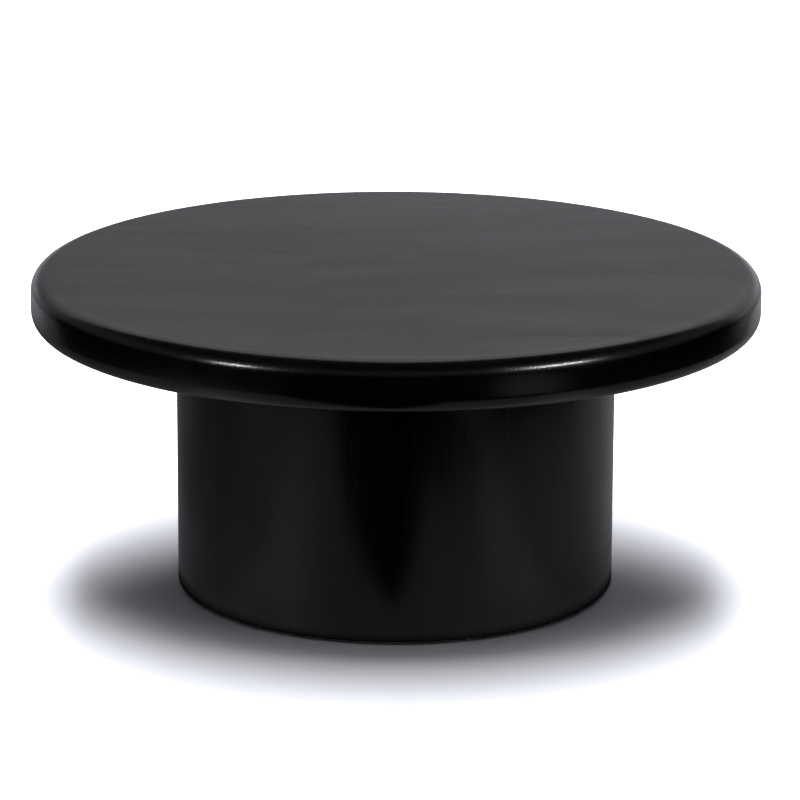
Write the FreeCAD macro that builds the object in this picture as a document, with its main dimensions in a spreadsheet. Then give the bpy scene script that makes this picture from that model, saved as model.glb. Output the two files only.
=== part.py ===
import FreeCAD, Part
import math
import os

import Sketcher

# Round cocktail table: a disc of edge-glued boards on a coopered drum that stands on four levellers.
# Lengths are millimetres. +Z is up; the origin is on the floor, on the upright axis of the drum.
# The boards of the top run along X.

SIZES = (
    # Round top
    ("overall_height", 406),
    ("top_diameter", 914),
    ("top_thickness", 66),
    ("upper_rounding", 22),
    ("lower_rounding", 20),
    ("board_count", 8),
    # Drum of staves, with a rabbet turned inside each end
    ("drum_diameter", 552),
    ("stave_count", 24),
    ("stave_thickness", 26),
    ("rabbet_depth", 12),
    ("foot_rounding", 2),
    ("floor_gap", 4),
    # Plywood plate and ring let into the rabbets
    ("plate_thickness", 22),
    ("ring_thickness", 22),
    ("ring_width", 70),
    ("seat_clearance", 0.3),
    # Bolts that hold the top, with washers and threaded inserts
    ("bolt_count", 8),
    ("bolt_inset", 30),
    ("bolt_diameter", 8),
    ("bolt_head_diameter", 14),
    ("bolt_head_height", 5),
    ("bolt_socket_across", 5),
    ("bolt_socket_depth", 3),
    ("bolt_hole_play", 1.5),
    ("bolt_tip_room", 3),
    ("washer_diameter", 24),
    ("washer_thickness", 2),
    ("insert_diameter", 12),
    ("insert_length", 18),
    # Wood screws through the plate and the ring into every second stave
    ("screw_diameter", 4.5),
    ("screw_head_diameter", 8.5),
    ("screw_bite", 16),
    ("screw_tip_length", 5),
    # Levellers
    ("leveller_count", 4),
    ("leveller_inset", 26),
    ("pad_diameter", 38),
    ("pad_height", 9),
    ("pad_floor", 3),
    ("pad_chamfer", 2),
    ("ball_diameter", 10),
    ("collar_across", 14),
    ("collar_height", 5),
    ("stud_diameter", 8),
    ("stud_length", 34),
    ("stud_chamfer", 1),
    ("nut_flange_diameter", 22),
    ("nut_flange_thickness", 1.6),
    ("nut_barrel_diameter", 11),
    ("nut_barrel_length", 16),
    # Clearances
    ("thread_clearance", 0.1),
    ("running_gap", 0.3),
)

# Heights above the floor and radii from the axis that several pieces share
TOP_UNDERSIDE = "(Sizes.overall_height - Sizes.top_thickness)"
PLATE_UNDERSIDE = f"({TOP_UNDERSIDE} - Sizes.plate_thickness)"
BOLT_SEAT = f"({PLATE_UNDERSIDE} - Sizes.washer_thickness)"
COLLAR_BOTTOM = "(Sizes.pad_height + Sizes.running_gap)"
NUT_UNDERSIDE = f"({COLLAR_BOTTOM} + Sizes.collar_height + Sizes.running_gap)"
RING_UNDERSIDE = f"({NUT_UNDERSIDE} + Sizes.nut_flange_thickness)"
DRUM_HEIGHT = f"({TOP_UNDERSIDE} - Sizes.floor_gap)"
DRUM_INSIDE = "(Sizes.drum_diameter / 2 - Sizes.stave_thickness)"
RABBET_RADIUS = f"({DRUM_INSIDE} + Sizes.rabbet_depth)"
FOOT_RABBET_HEIGHT = f"({RING_UNDERSIDE} + Sizes.ring_thickness - Sizes.floor_gap)"
LET_IN_RADIUS = f"({RABBET_RADIUS} - Sizes.seat_clearance)"
SCREW_CIRCLE = f"({DRUM_INSIDE} + Sizes.rabbet_depth / 2)"
BOLT_CIRCLE = f"({DRUM_INSIDE} - Sizes.bolt_inset)"
LEVELLER_CIRCLE = f"({DRUM_INSIDE} - Sizes.leveller_inset)"
SCREW_COUNT = "round(Sizes.stave_count / 2)"
HALF_STAVE = "(180 / Sizes.stave_count)"

# Sizes that several pieces share
BORE_DIAMETER = "(Sizes.bolt_diameter + 2 * Sizes.thread_clearance)"
INSERT_HOLE = "(Sizes.insert_diameter + 2 * Sizes.thread_clearance)"
SCREW_HOLE = "(Sizes.screw_diameter + 2 * Sizes.thread_clearance)"
SCREW_HEAD_HEIGHT = "((Sizes.screw_head_diameter - Sizes.screw_diameter) / 2)"
NUT_HOLE = "(Sizes.nut_barrel_diameter + 2 * Sizes.thread_clearance)"

UP = FreeCAD.Vector(0, 0, 1)
FULL_TURN = 360

doc = FreeCAD.newDocument("CocktailTable")
sheet = doc.addObject("Spreadsheet::Sheet", "Sizes")
for row, (alias, size) in enumerate(SIZES, start=1):
    sheet.set(f"A{row}", alias)
    sheet.set(f"B{row}", str(size))
    sheet.setAlias(f"B{row}", alias)
doc.recompute()

pieces = []


def keep(piece, label):
    """Name a finished piece and put it among those that are written out."""
    piece.Label = label
    pieces.append(piece)


def origin_item(body, role):
    """One plane or axis of a body's own origin."""
    return next(item for item in body.Origin.OriginFeatures if item.Role == role)


def new_body(name, height):
    """An empty body whose own zero lies at the given height above the floor."""
    body = doc.addObject("PartDesign::Body", name)
    body.setExpression("Placement.Base.z", height)
    return body


def new_sketch(body, name, role, lift="0"):
    """An empty sketch on one of the body's planes, lifted off it along its normal."""
    sketch = body.newObject("Sketcher::SketchObject", name)
    sketch.AttachmentSupport = [(origin_item(body, role), "")]
    sketch.MapMode = "FlatFace"
    sketch.setExpression("AttachmentOffset.Base.z", lift)
    return sketch


def hold(sketch, geometry, point, across, along):
    """Hold one point of a sketch at a distance from the sketch's zero in both directions."""
    for kind, axis, size in (("DistanceX", -2, across), ("DistanceY", -1, along)):
        if size == "0":
            sketch.addConstraint(Sketcher.Constraint("PointOnObject", geometry, point, axis))
        else:
            index = sketch.addConstraint(Sketcher.Constraint(kind, -1, 1, geometry, point, 1.0))
            sketch.setExpression(f"Constraints[{index}]", size)


def draw_circle(sketch, diameter, across="0", along="0"):
    """A circle of the given diameter with its centre held in place."""
    circle = sketch.addGeometry(Part.Circle(FreeCAD.Vector(1, 1, 0), UP, 1.0))
    index = sketch.addConstraint(Sketcher.Constraint("Diameter", circle, 1.0))
    sketch.setExpression(f"Constraints[{index}]", diameter)
    if across == "0" and along == "0":
        sketch.addConstraint(Sketcher.Constraint("Coincident", circle, 3, -1, 1))
    else:
        hold(sketch, circle, 3, across, along)


def draw_outline(sketch, corners):
    """A closed outline of straight lines with each corner held in place."""
    count = len(corners)
    spots = []
    for step in range(count):
        turn = 2 * math.pi * step / count - math.pi / 2
        spots.append(FreeCAD.Vector(10 + 5 * math.cos(turn), 10 + 5 * math.sin(turn), 0))
    for step in range(count):
        sketch.addGeometry(Part.LineSegment(spots[step], spots[(step + 1) % count]))
    for step in range(count):
        sketch.addConstraint(Sketcher.Constraint("Coincident", step, 2, (step + 1) % count, 1))
    for step, (across, along) in enumerate(corners):
        hold(sketch, step, 1, across, along)


def pad(body, name, sketch, length):
    """Raise a sketch into a solid."""
    feature = body.newObject("PartDesign::Pad", name)
    feature.Profile = sketch
    feature.setExpression("Length", length)
    doc.recompute()
    return feature


def pocket(body, name, sketch, depth, upward):
    """Cut a sketch into the solid, and make sure that it took material away."""
    before = body.Shape.Volume
    feature = body.newObject("PartDesign::Pocket", name)
    feature.Profile = sketch
    feature.Reversed = upward
    feature.setExpression("Length", depth)
    doc.recompute()
    if feature.Shape.Volume >= before:
        raise RuntimeError(f"{name} cut nothing")
    return feature


def turned(body, name, centre, corners, kind="PartDesign::Revolution"):
    """Turn an outline about an upright line at the given distance from the body's axis.

    A corner is an offset from that line and a height.
    """
    sketch = new_sketch(body, f"{name}_outline", "XZ_Plane")
    draw_outline(sketch, [(joined(centre, offset), height) for offset, height in corners])
    line = sketch.addGeometry(Part.LineSegment(FreeCAD.Vector(1, 1, 0), FreeCAD.Vector(1, 9, 0)), True)
    sketch.addConstraint(Sketcher.Constraint("Vertical", line))
    sketch.addConstraint(Sketcher.Constraint("PointOnObject", line, 1, -1))
    if centre == "0":
        sketch.addConstraint(Sketcher.Constraint("PointOnObject", line, 2, -2))
    else:
        index = sketch.addConstraint(Sketcher.Constraint("DistanceX", -1, 1, line, 1, 1.0))
        sketch.setExpression(f"Constraints[{index}]", centre)
    doc.recompute()
    feature = body.newObject(kind, name)
    feature.Profile = sketch
    feature.ReferenceAxis = (sketch, ["Axis0"])
    feature.Angle = FULL_TURN
    doc.recompute()
    return feature


def joined(centre, offset):
    """The sum of two distances, as the sketch wants it."""
    if offset == "0":
        return centre
    if centre == "0":
        return offset
    return f"{centre} + {offset}"


def around(body, name, features, count):
    """Repeat features evenly round the body's axis."""
    pattern = body.newObject("PartDesign::PolarPattern", name)
    pattern.Originals = features
    pattern.Axis = (origin_item(body, "Z_Axis"), [""])
    pattern.Angle = FULL_TURN
    pattern.setExpression("Occurrences", count)
    body.Tip = pattern
    doc.recompute()
    return pattern


def half_step_on_circle(radius, count):
    """The two coordinates of a point on a circle, half a step round from X."""
    return f"{radius} * cos(180deg / {count})", f"{radius} * sin(180deg / {count})"


def rims_at(feature, height):
    """Names of the round edges that lie wholly at one height of a feature."""
    names = []
    for number, edge in enumerate(feature.Shape.Edges, start=1):
        box = edge.BoundBox
        if abs(box.ZMin - height) < 1e-6 and abs(box.ZMax - height) < 1e-6:
            names.append(f"Edge{number}")
    return names


def soften(body, name, feature, height, size, kind="PartDesign::Fillet"):
    """Round or chamfer the rim of a feature at one of its heights."""
    edge = body.newObject(kind, name)
    edge.Base = (feature, rims_at(feature, height))
    edge.setExpression("Radius" if kind == "PartDesign::Fillet" else "Size", size)
    doc.recompute()
    return edge


def screw_holes(body, name, corners):
    """Countersunk holes in a let-in piece, one over every second stave."""
    before = body.Shape.Volume
    hole = turned(body, name, SCREW_CIRCLE, corners, "PartDesign::Groove")
    if hole.Shape.Volume >= before:
        raise RuntimeError(f"{name} cut nothing")
    around(body, f"{name}_round", [hole], SCREW_COUNT)


# Round top: a disc with a large rounding above and a smaller one below, blind holes for the inserts
# in its underside, sawn into edge-glued boards along X

top = new_body("TopDisc", TOP_UNDERSIDE)
top_circle = new_sketch(top, "top_circle", "XY_Plane")
draw_circle(top_circle, "Sizes.top_diameter")
top_disc = pad(top, "top_disc", top_circle, "Sizes.top_thickness")
top_upper = soften(top, "top_upper_edge", top_disc, sheet.top_thickness, "Sizes.upper_rounding")
top_lower = soften(top, "top_lower_edge", top_upper, 0, "Sizes.lower_rounding")
insert_circle = new_sketch(top, "insert_circle", "XY_Plane")
draw_circle(insert_circle, INSERT_HOLE, *half_step_on_circle(BOLT_CIRCLE, "Sizes.bolt_count"))
insert_hole = pocket(top, "insert_hole", insert_circle, "Sizes.insert_length", True)
around(top, "insert_holes", [insert_hole], "Sizes.bolt_count")

board_count = int(sheet.board_count)
for number in range(1, board_count + 1):
    slab = doc.addObject("Part::Box", f"board_slab_{number}")
    slab.setExpression("Length", "2 * Sizes.top_diameter")
    slab.setExpression("Height", "3 * Sizes.top_thickness")
    front_spare = "Sizes.top_thickness" if number == 1 else "0"
    back_spare = "Sizes.top_thickness" if number == board_count else "0"
    slab.setExpression("Width", f"Sizes.top_diameter / Sizes.board_count + {front_spare} + {back_spare}")
    slab.setExpression("Placement.Base.x", "-Sizes.top_diameter")
    slab.setExpression(
        "Placement.Base.y",
        f"({number - 1} / Sizes.board_count - 1 / 2) * Sizes.top_diameter - {front_spare}",
    )
    slab.setExpression("Placement.Base.z", f"{TOP_UNDERSIDE} - Sizes.top_thickness")
    board = doc.addObject("Part::Common", f"board_{number}")
    board.Base = top
    board.Tool = slab
    keep(board, f"top_board_{number}")

# Drum: a round blank with a rabbet and screw holes in each end, bored to a flat-sided inside, then
# parted along its glue faces into staves. The middle of the first stave lies on +X.

drum = new_body("DrumBlank", "Sizes.floor_gap")
drum_circle = new_sketch(drum, "drum_circle", "XY_Plane")
draw_circle(drum_circle, "Sizes.drum_diameter")
drum_round = pad(drum, "drum_round", drum_circle, DRUM_HEIGHT)
soften(drum, "drum_foot_edge", drum_round, 0, "Sizes.foot_rounding")
foot_circle = new_sketch(drum, "foot_rabbet_circle", "XY_Plane")
draw_circle(foot_circle, f"2 * {RABBET_RADIUS}")
pocket(drum, "foot_rabbet", foot_circle, FOOT_RABBET_HEIGHT, True)
head_circle = new_sketch(drum, "head_rabbet_circle", "XY_Plane", DRUM_HEIGHT)
draw_circle(head_circle, f"2 * {RABBET_RADIUS}")
pocket(drum, "head_rabbet", head_circle, "Sizes.plate_thickness", False)
foot_pilot_circle = new_sketch(drum, "foot_pilot_circle", "XY_Plane", FOOT_RABBET_HEIGHT)
draw_circle(foot_pilot_circle, SCREW_HOLE, SCREW_CIRCLE)
foot_pilot = pocket(drum, "foot_pilot", foot_pilot_circle, "Sizes.screw_bite", True)
around(drum, "foot_pilots", [foot_pilot], SCREW_COUNT)
head_pilot_circle = new_sketch(
    drum, "head_pilot_circle", "XY_Plane", f"{DRUM_HEIGHT} - Sizes.plate_thickness"
)
draw_circle(head_pilot_circle, SCREW_HOLE, SCREW_CIRCLE)
head_pilot = pocket(drum, "head_pilot", head_pilot_circle, "Sizes.screw_bite", False)
around(drum, "head_pilots", [head_pilot], SCREW_COUNT)

flat_bore = doc.addObject("Part::Prism", "flat_sided_bore")
flat_bore.setExpression("Polygon", "Sizes.stave_count")
flat_bore.setExpression("Circumradius", f"{DRUM_INSIDE} / cos(180deg / Sizes.stave_count)")
flat_bore.setExpression("Height", "Sizes.overall_height")
flat_bore.Placement.Rotation = FreeCAD.Rotation(UP, 1)
flat_bore.setExpression("Placement.Rotation.Angle", HALF_STAVE)
bored_drum = doc.addObject("Part::Cut", "bored_drum")
bored_drum.Base = drum
bored_drum.Tool = flat_bore

for number in range(1, int(sheet.stave_count) + 1):
    wedge = doc.addObject("Part::Cylinder", f"stave_wedge_{number:02d}")
    wedge.setExpression("Radius", "Sizes.drum_diameter")
    wedge.setExpression("Height", "Sizes.overall_height")
    wedge.setExpression("Angle", f"2 * {HALF_STAVE}")
    wedge.Placement.Rotation = FreeCAD.Rotation(UP, 1)
    wedge.setExpression("Placement.Rotation.Angle", f"{2 * number - 3} * {HALF_STAVE}")
    stave = doc.addObject("Part::Common", f"stave_{number:02d}")
    stave.Base = bored_drum
    stave.Tool = wedge
    keep(stave, f"drum_stave_{number:02d}")

# Plywood plate in the head of the drum, with oversize holes for the bolts so that the top can swell

plate = new_body("TopPlate", PLATE_UNDERSIDE)
plate_circle = new_sketch(plate, "plate_circle", "XY_Plane")
draw_circle(plate_circle, f"2 * {LET_IN_RADIUS}")
pad(plate, "plate_disc", plate_circle, "Sizes.plate_thickness")
bolt_hole_circle = new_sketch(plate, "bolt_hole_circle", "XY_Plane")
draw_circle(
    bolt_hole_circle,
    "Sizes.bolt_diameter + 2 * Sizes.bolt_hole_play",
    *half_step_on_circle(BOLT_CIRCLE, "Sizes.bolt_count"),
)
bolt_hole = pocket(plate, "bolt_hole", bolt_hole_circle, "Sizes.plate_thickness", True)
around(plate, "bolt_holes", [bolt_hole], "Sizes.bolt_count")
screw_holes(
    plate,
    "plate_screw_hole",
    (
        ("0", "0"),
        (f"{SCREW_HOLE} / 2", "0"),
        (f"{SCREW_HOLE} / 2", f"Sizes.plate_thickness - {SCREW_HEAD_HEIGHT}"),
        ("Sizes.screw_head_diameter / 2 + Sizes.thread_clearance", "Sizes.plate_thickness"),
        ("0", "Sizes.plate_thickness"),
    ),
)
keep(plate, "drum_top_plate")

# Plywood ring in the foot of the drum, with holes for the nuts of the levellers

ring = new_body("BaseRing", RING_UNDERSIDE)
ring_circles = new_sketch(ring, "ring_circles", "XY_Plane")
draw_circle(ring_circles, f"2 * {LET_IN_RADIUS}")
draw_circle(ring_circles, f"2 * ({RABBET_RADIUS} - Sizes.ring_width)")
pad(ring, "ring_disc", ring_circles, "Sizes.ring_thickness")
nut_hole_circle = new_sketch(ring, "nut_hole_circle", "XY_Plane")
draw_circle(nut_hole_circle, NUT_HOLE, *half_step_on_circle(LEVELLER_CIRCLE, "Sizes.leveller_count"))
nut_hole = pocket(ring, "nut_hole", nut_hole_circle, "Sizes.ring_thickness", True)
around(ring, "nut_holes", [nut_hole], "Sizes.leveller_count")
screw_holes(
    ring,
    "ring_screw_hole",
    (
        ("0", "0"),
        ("Sizes.screw_head_diameter / 2 + Sizes.thread_clearance", "0"),
        (f"{SCREW_HOLE} / 2", SCREW_HEAD_HEIGHT),
        (f"{SCREW_HOLE} / 2", "Sizes.ring_thickness"),
        ("0", "Sizes.ring_thickness"),
    ),
)
keep(ring, "drum_base_ring")

# Countersunk wood screws: downward through the plate, upward through the ring

plate_screws = new_body("PlateScrews", f"{PLATE_UNDERSIDE} - Sizes.screw_bite")
plate_screw = turned(
    plate_screws,
    "plate_screw",
    SCREW_CIRCLE,
    (
        ("0", "0"),
        ("Sizes.screw_diameter / 2", "Sizes.screw_tip_length"),
        ("Sizes.screw_diameter / 2", f"Sizes.screw_bite + Sizes.plate_thickness - {SCREW_HEAD_HEIGHT}"),
        ("Sizes.screw_head_diameter / 2", "Sizes.screw_bite + Sizes.plate_thickness"),
        ("0", "Sizes.screw_bite + Sizes.plate_thickness"),
    ),
)
around(plate_screws, "plate_screws_round", [plate_screw], SCREW_COUNT)
keep(plate_screws, "plate_screws")

ring_screws = new_body("RingScrews", RING_UNDERSIDE)
ring_screw = turned(
    ring_screws,
    "ring_screw",
    SCREW_CIRCLE,
    (
        ("0", "0"),
        ("Sizes.screw_head_diameter / 2", "0"),
        ("Sizes.screw_diameter / 2", SCREW_HEAD_HEIGHT),
        ("Sizes.screw_diameter / 2", "Sizes.ring_thickness + Sizes.screw_bite - Sizes.screw_tip_length"),
        ("0", "Sizes.ring_thickness + Sizes.screw_bite"),
    ),
)
around(ring_screws, "ring_screws_round", [ring_screw], SCREW_COUNT)
keep(ring_screws, "ring_screws")

# Bolts with a hex socket, washers under their heads, and inserts in the top. Each set is made on X
# and turned by half a step.


def turn_half_step(body, count):
    """Turn a body about its axis by half a step of its pattern."""
    body.Placement.Rotation = FreeCAD.Rotation(UP, 1)
    body.setExpression("Placement.Rotation.Angle", f"180 / {count}")
    doc.recompute()


bolts = new_body("TopBolts", f"{BOLT_SEAT} - Sizes.bolt_head_height")
bolt_reach = (
    "Sizes.bolt_head_height + Sizes.washer_thickness + Sizes.plate_thickness"
    " + Sizes.insert_length - Sizes.bolt_tip_room"
)
bolt = turned(
    bolts,
    "bolt",
    BOLT_CIRCLE,
    (
        ("0", "0"),
        ("Sizes.bolt_head_diameter / 2", "0"),
        ("Sizes.bolt_head_diameter / 2", "Sizes.bolt_head_height"),
        ("Sizes.bolt_diameter / 2", "Sizes.bolt_head_height"),
        ("Sizes.bolt_diameter / 2", bolt_reach),
        ("0", bolt_reach),
    ),
)
socket = bolts.newObject("PartDesign::SubtractivePrism", "bolt_socket")
socket.AttachmentSupport = [(origin_item(bolts, "XY_Plane"), "")]
socket.MapMode = "FlatFace"
socket.Polygon = 6
socket.setExpression("Circumradius", "Sizes.bolt_socket_across / sqrt(3)")
socket.setExpression("Height", "Sizes.bolt_socket_depth")
socket.setExpression("AttachmentOffset.Base.x", BOLT_CIRCLE)
doc.recompute()
around(bolts, "bolts_round", [bolt, socket], "Sizes.bolt_count")
turn_half_step(bolts, "Sizes.bolt_count")
keep(bolts, "top_bolts")

washers = new_body("BoltWashers", BOLT_SEAT)
washer = turned(
    washers,
    "washer",
    BOLT_CIRCLE,
    (
        (f"{BORE_DIAMETER} / 2", "0"),
        ("Sizes.washer_diameter / 2", "0"),
        ("Sizes.washer_diameter / 2", "Sizes.washer_thickness"),
        (f"{BORE_DIAMETER} / 2", "Sizes.washer_thickness"),
    ),
)
around(washers, "washers_round", [washer], "Sizes.bolt_count")
turn_half_step(washers, "Sizes.bolt_count")
keep(washers, "bolt_washers")

inserts = new_body("ThreadedInserts", TOP_UNDERSIDE)
insert = turned(
    inserts,
    "insert",
    BOLT_CIRCLE,
    (
        (f"{BORE_DIAMETER} / 2", "0"),
        ("Sizes.insert_diameter / 2", "0"),
        ("Sizes.insert_diameter / 2", "Sizes.insert_length"),
        (f"{BORE_DIAMETER} / 2", "Sizes.insert_length"),
    ),
)
around(inserts, "inserts_round", [insert], "Sizes.bolt_count")
turn_half_step(inserts, "Sizes.bolt_count")
keep(inserts, "threaded_inserts")

# Levellers: a flanged nut in the ring, a stud with a hex collar and a ball end, and a pad that
# swivels on the ball end. They stand here fully screwed in.

nuts = new_body("LevellerNuts", NUT_UNDERSIDE)
nut_bore = "(Sizes.stud_diameter / 2 + Sizes.thread_clearance)"
nut_height = "Sizes.nut_flange_thickness + Sizes.nut_barrel_length"
nut = turned(
    nuts,
    "nut",
    LEVELLER_CIRCLE,
    (
        (nut_bore, "0"),
        ("Sizes.nut_flange_diameter / 2", "0"),
        ("Sizes.nut_flange_diameter / 2", "Sizes.nut_flange_thickness"),
        ("Sizes.nut_barrel_diameter / 2", "Sizes.nut_flange_thickness"),
        ("Sizes.nut_barrel_diameter / 2", nut_height),
        (nut_bore, nut_height),
    ),
)
around(nuts, "nuts_round", [nut], "Sizes.leveller_count")
turn_half_step(nuts, "Sizes.leveller_count")
keep(nuts, "leveller_nuts")


def place_leveller(body, number):
    """Put a body of one leveller over its place on the ring."""
    turn = f"({2 * number - 1} * 180deg / Sizes.leveller_count)"
    body.setExpression("Placement.Base.x", f"{LEVELLER_CIRCLE} * cos{turn}")
    body.setExpression("Placement.Base.y", f"{LEVELLER_CIRCLE} * sin{turn}")
    doc.recompute()


SOCKET_RADIUS = "(Sizes.ball_diameter / 2 + Sizes.thread_clearance)"
BALL_BOTTOM = "(Sizes.pad_floor + Sizes.running_gap)"
STUD_TOP = f"({COLLAR_BOTTOM} + Sizes.collar_height + Sizes.stud_length)"
for number in range(1, int(sheet.leveller_count) + 1):
    foot = new_body(f"LevellerPad{number}", "0")
    turned(
        foot,
        f"pad_{number}",
        "0",
        (
            ("0", "0"),
            ("Sizes.pad_diameter / 2", "0"),
            ("Sizes.pad_diameter / 2", "Sizes.pad_height - Sizes.pad_chamfer"),
            ("Sizes.pad_diameter / 2 - Sizes.pad_chamfer", "Sizes.pad_height"),
            (SOCKET_RADIUS, "Sizes.pad_height"),
            (SOCKET_RADIUS, "Sizes.pad_floor"),
            ("0", "Sizes.pad_floor"),
        ),
    )
    place_leveller(foot, number)
    keep(foot, f"leveller_pad_{number}")

    stud = new_body(f"LevellerStud{number}", "0")
    turned(
        stud,
        f"stud_{number}",
        "0",
        (
            ("0", BALL_BOTTOM),
            ("Sizes.ball_diameter / 2", BALL_BOTTOM),
            ("Sizes.ball_diameter / 2", COLLAR_BOTTOM),
            ("Sizes.stud_diameter / 2", COLLAR_BOTTOM),
            ("Sizes.stud_diameter / 2", f"{STUD_TOP} - Sizes.stud_chamfer"),
            ("Sizes.stud_diameter / 2 - Sizes.stud_chamfer", STUD_TOP),
            ("0", STUD_TOP),
        ),
    )
    collar = stud.newObject("PartDesign::AdditivePrism", f"collar_{number}")
    collar.AttachmentSupport = [(origin_item(stud, "XY_Plane"), "")]
    collar.MapMode = "FlatFace"
    collar.Polygon = 6
    collar.setExpression("Circumradius", "Sizes.collar_across / sqrt(3)")
    collar.setExpression("Height", "Sizes.collar_height")
    collar.setExpression("AttachmentOffset.Base.z", COLLAR_BOTTOM)
    doc.recompute()
    place_leveller(stud, number)
    keep(stud, f"leveller_stud_{number}")

doc.recompute()

# Every object has to be sound before the pieces are written

for item in doc.Objects:
    if "Invalid" in item.State or "Error" in item.State:
        raise RuntimeError(f"{item.Label} is in state {item.State}")
os.makedirs("parts", exist_ok=True)
for piece in pieces:
    if piece.Shape.isNull() or not piece.Shape.isValid():
        raise RuntimeError(f"{piece.Label} has no valid shape")
    piece.Shape.exportStep(f"parts/{piece.Label}.step")
    solids = len(piece.Shape.Solids)
    print(f"{piece.Label}: {solids} solid(s), {piece.Shape.Volume / 1000:.1f} cm3")
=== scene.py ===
# %% [markdown]
# # A black round cocktail table
# The real table is a thick disc of edge-glued boards on a drum of upright staves, stained black and
# sprayed with satin lacquer. This lesson loads the table's solids as a fixed frame, models the wood and
# the fittings round them, gives each piece its finish and sets up a small studio. All lengths are metres.

import math

import bmesh
import bpy
from mathutils import Matrix, Vector


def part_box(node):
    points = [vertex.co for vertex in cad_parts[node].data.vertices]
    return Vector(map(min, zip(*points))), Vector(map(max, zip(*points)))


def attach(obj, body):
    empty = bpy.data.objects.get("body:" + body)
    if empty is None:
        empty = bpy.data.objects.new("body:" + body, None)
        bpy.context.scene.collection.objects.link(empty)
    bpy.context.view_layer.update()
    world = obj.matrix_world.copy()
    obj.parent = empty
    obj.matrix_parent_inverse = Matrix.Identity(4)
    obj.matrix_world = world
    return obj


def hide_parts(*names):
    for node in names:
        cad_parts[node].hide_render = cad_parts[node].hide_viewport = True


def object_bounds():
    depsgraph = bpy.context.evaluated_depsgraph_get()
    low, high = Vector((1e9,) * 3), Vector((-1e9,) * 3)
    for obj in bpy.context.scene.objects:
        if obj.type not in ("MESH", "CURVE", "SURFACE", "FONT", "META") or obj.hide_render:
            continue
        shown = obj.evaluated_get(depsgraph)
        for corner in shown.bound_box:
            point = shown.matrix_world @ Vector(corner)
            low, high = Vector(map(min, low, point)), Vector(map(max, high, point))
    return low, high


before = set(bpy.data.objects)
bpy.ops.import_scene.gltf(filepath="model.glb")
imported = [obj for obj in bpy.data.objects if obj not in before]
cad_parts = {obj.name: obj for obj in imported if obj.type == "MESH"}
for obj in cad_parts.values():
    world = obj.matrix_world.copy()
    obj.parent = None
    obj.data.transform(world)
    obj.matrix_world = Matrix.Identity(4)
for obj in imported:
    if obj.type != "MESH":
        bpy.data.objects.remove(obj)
cad_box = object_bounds()

# %% [markdown]
# ## Sizes
# The places of all pieces are read from the frame, so that they follow it. Only what a box does not
# show is written as a number: here the roundings and the clearance round the plywood, and later the
# small sizes of each fitting.

# %% Read sizes from the frame
BOARDS = sorted(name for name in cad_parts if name.startswith("top_board"))
STAVES = sorted(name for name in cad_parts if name.startswith("drum_stave"))

TOP_RADIUS = cad_box[1].x
TOP_HEIGHT = cad_box[1].z
TOP_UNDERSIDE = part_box(BOARDS[0])[0].z
UPPER_ROUNDING = 0.022
LOWER_ROUNDING = 0.020
BOARD_WIDTH = 2 * TOP_RADIUS / len(BOARDS)

DRUM_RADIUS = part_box(STAVES[0])[1].x
DRUM_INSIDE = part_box(STAVES[0])[0].x
DRUM_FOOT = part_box(STAVES[0])[0].z
DRUM_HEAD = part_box(STAVES[0])[1].z
FOOT_ROUNDING = 0.002
SEAT_CLEARANCE = 0.0003
RABBET_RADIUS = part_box("drum_top_plate")[1].x + SEAT_CLEARANCE
HEAD_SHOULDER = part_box("drum_top_plate")[0].z
FOOT_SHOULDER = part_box("drum_base_ring")[1].z
STAVE_ANGLE = 2 * math.pi / len(STAVES)
print(f"top {2 * TOP_RADIUS:.3f} across, drum {2 * DRUM_RADIUS:.3f} across, height {TOP_HEIGHT:.3f}")

# %% [markdown]
# ## Helpers for modelling by hand
# Operators act on whatever is selected, so each step starts from a clean selection. These few helpers
# stand for the clicks that a modeller makes: start clean, go into edit mode, pick edges by their place,
# and hang the finished piece on its body.

# %% Modelling helpers
SAME_LENGTH = 1e-5
EXACT = 1e-7
SMOOTH_ANGLE = 30


def start_clean():
    """Leave edit mode and let nothing stay selected."""
    if bpy.context.object and bpy.context.object.mode != "OBJECT":
        bpy.ops.object.mode_set(mode="OBJECT")
    bpy.ops.object.select_all(action="DESELECT")


def pick_only(obj):
    """Select one object and make it the active one."""
    start_clean()
    obj.select_set(True)
    bpy.context.view_layer.objects.active = obj


def edit(obj, mode="VERT"):
    """Go into edit mode on one object, with everything deselected."""
    pick_only(obj)
    bpy.ops.object.mode_set(mode="EDIT")
    bpy.ops.mesh.select_mode(type=mode)
    bpy.ops.mesh.select_all(action="DESELECT")


def select_edges(obj, wanted):
    """Select the edges for which wanted(first corner, second corner) holds."""
    mesh = bmesh.from_edit_mesh(obj.data)
    for edge in mesh.edges:
        edge.select_set(wanted(edge.verts[0].co, edge.verts[1].co))
    bmesh.update_edit_mesh(obj.data)


def finish_piece(obj, name, body, node, smooth_angle=SMOOTH_ANGLE):
    """Name a piece, shade it, apply its place and let it stand for its CAD node."""
    pick_only(obj)
    obj.name = name
    obj.data.name = name
    bpy.ops.object.transform_apply(location=True, rotation=True, scale=True)
    bpy.ops.object.shade_smooth_by_angle(angle=math.radians(smooth_angle))
    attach(obj, body)
    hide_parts(node)
    return obj


def near(a, b, tolerance=SAME_LENGTH):
    """True where two lengths are the same."""
    return abs(a - b) < tolerance


print("helpers ready, lengths the same within", SAME_LENGTH, "and cuts within", EXACT)

# %% [markdown]
# ## The boards of the top
# A solid top this wide is glued up from boards, sawn round, and run past a router for its two roundings.
# It could be modelled board by board, but the roundings then have to meet across every joint. It is
# easier to do as the workshop does: turn one disc, round its rims with a bevel, then saw it into boards.

# %% Turn the disc and round its rims
ROUND_STEPS = 360
ROUNDING_STEPS = 14


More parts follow.
